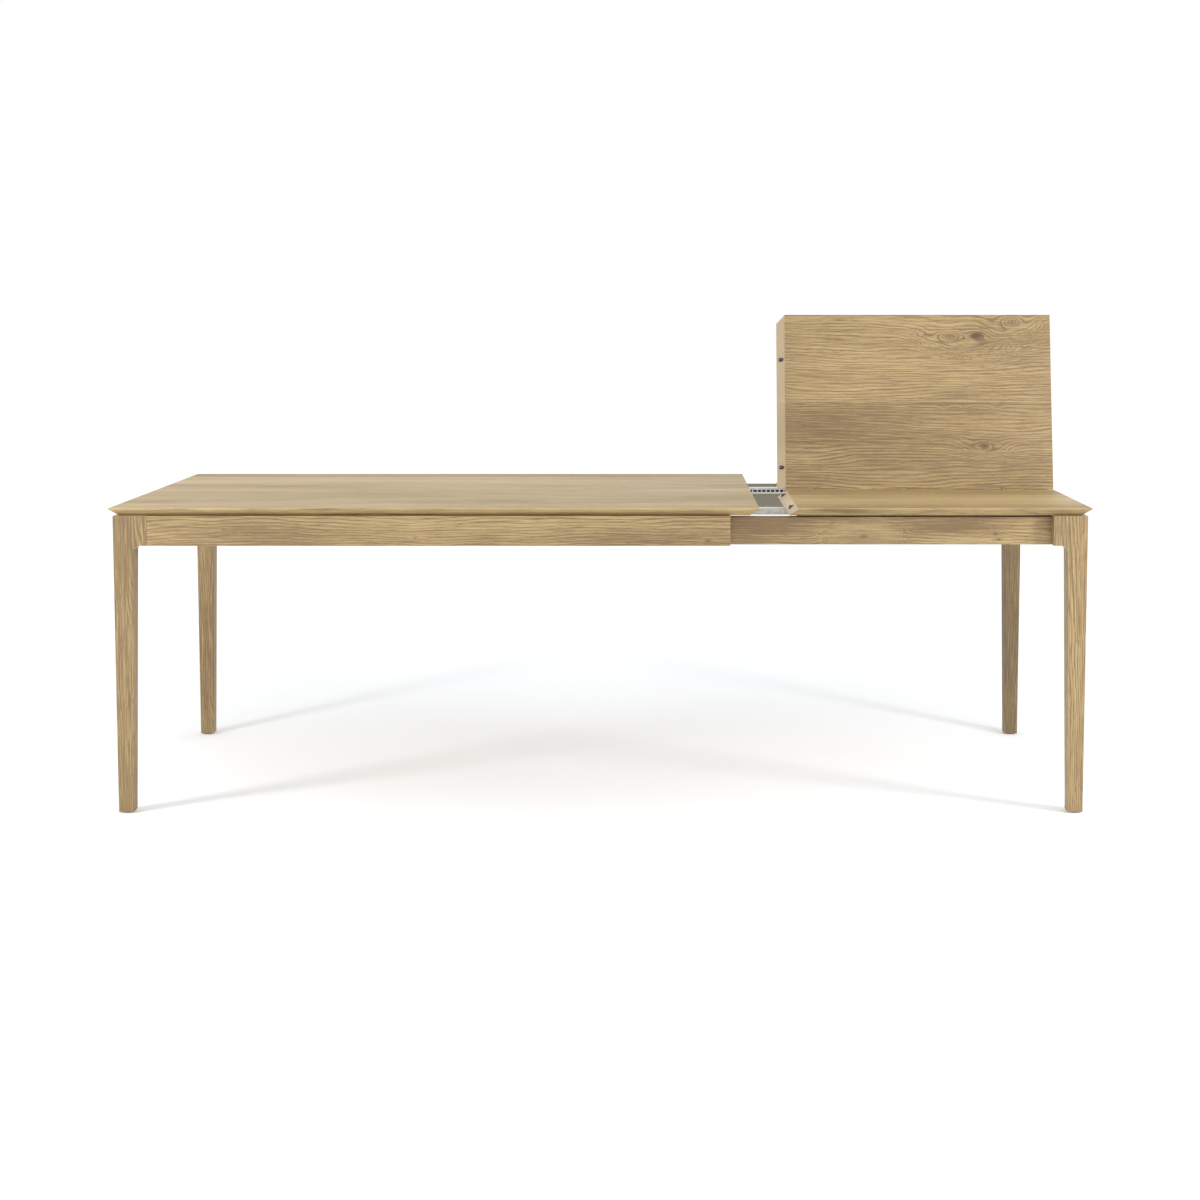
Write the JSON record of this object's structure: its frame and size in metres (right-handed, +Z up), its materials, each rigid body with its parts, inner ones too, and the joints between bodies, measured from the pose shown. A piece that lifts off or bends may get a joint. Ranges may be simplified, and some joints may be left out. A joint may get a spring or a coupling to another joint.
{
  "type": "extendable dining table",
  "caption": "Rectangular oak dining table that pulls apart on rails, with a hinged folding leaf resting over the opening, tapered legs and bevelled edges.",
  "frame": {"origin": "on the floor, under the middle of the table as it stands part open", "axes": "+X from the fixed end to the end that pulls out, +Y from front to back, +Z up"},
  "size_m": [2.418, 0.95, 1.2302],
  "materials": {
    "oak_boards": "matt oiled oak",
    "oak_frame": "matt oiled oak",
    "beech_dowels": "turned, unfinished",
    "beech_bearers": "planed, unfinished",
    "aluminium_rails": "natural anodised",
    "steel_cages": "galvanised strip",
    "zinc_hardware": "bright zinc plate",
    "aged_brass": "aged, oiled",
    "nylon": "moulded nylon"
  },
  "bodies": {
    "main_frame": {"main_top": "oak_boards", "leg_front_left": "oak_frame", "leg_back_left": "oak_frame", "outer_apron_front": "oak_frame", "outer_apron_back": "oak_frame", "end_apron_left": "oak_frame", "joint_dowels_left": "beech_dowels", "corner_braces_left": "beech_bearers", "corner_bolts_left": "zinc_hardware", "foot_glides_left": "nylon", "apron_guides": "nylon", "apron_guide_screws": "zinc_hardware", "top_brackets": "zinc_hardware", "top_bracket_screws": "zinc_hardware", "outer_rail_front": "aluminium_rails", "outer_rail_back": "aluminium_rails", "outer_rail_screws": "zinc_hardware", "outer_rail_stops": "nylon", "top_dowels": "beech_dowels"},
    "extension_frame": {"leg_front_right": "oak_frame", "leg_back_right": "oak_frame", "inner_apron_front": "oak_frame", "inner_apron_back": "oak_frame", "end_apron_right": "oak_frame", "leaf_bearers": "beech_bearers", "joint_dowels_right": "beech_dowels", "corner_braces_right": "beech_bearers", "corner_bolts_right": "zinc_hardware", "foot_glides_right": "nylon", "inner_rail_front": "aluminium_rails", "inner_rail_back": "aluminium_rails", "inner_rail_plugs": "nylon", "cross_bar_free_end": "beech_bearers", "cross_bar_middle": "beech_bearers", "cross_bar_leg_end": "beech_bearers", "rail_blocks": "beech_bearers", "rail_block_screws": "zinc_hardware", "cross_bar_dowels": "beech_dowels"},
    "ball_cages": {"ball_cage_front": "steel_cages", "ball_cage_back": "steel_cages", "rail_balls": "zinc_hardware"},
    "leaf_front_half": {"leaf_front": "oak_boards", "hinge_plates_front": "aged_brass", "hinge_screws_front": "aged_brass", "hinge_pins": "aged_brass", "alignment_pins_front": "zinc_hardware"},
    "leaf_back_half": {"leaf_back": "oak_boards", "hinge_plates_back": "aged_brass", "hinge_screws_back": "aged_brass", "alignment_pins_back": "zinc_hardware"}
  },
  "joints": [
    {"name": "extension_slide", "type": "slide", "parent": "main_frame", "child": "extension_frame", "axis": [1, 0, 0], "range_m": [-0.0954, 0]},
    {"name": "cage_travel", "type": "slide", "parent": "main_frame", "child": "ball_cages", "axis": [1, 0, 0], "range_m": [-0.0477, 0]},
    {"name": "leaf_lift", "type": "slide", "parent": "extension_frame", "child": "leaf_front_half", "axis": [0, 0, 1], "range_m": [0, 0.1]},
    {"name": "leaf_fold", "type": "hinge", "parent": "leaf_front_half", "child": "leaf_back_half", "pos_m": [0, 0, 0.7605], "axis": [1, 0, 0], "range_deg": [-81.5, 98.5]}
  ],
  "couplings": [
    {"joint": "cage_travel", "follows": "extension_slide", "ratio": 0.5}
  ]
}
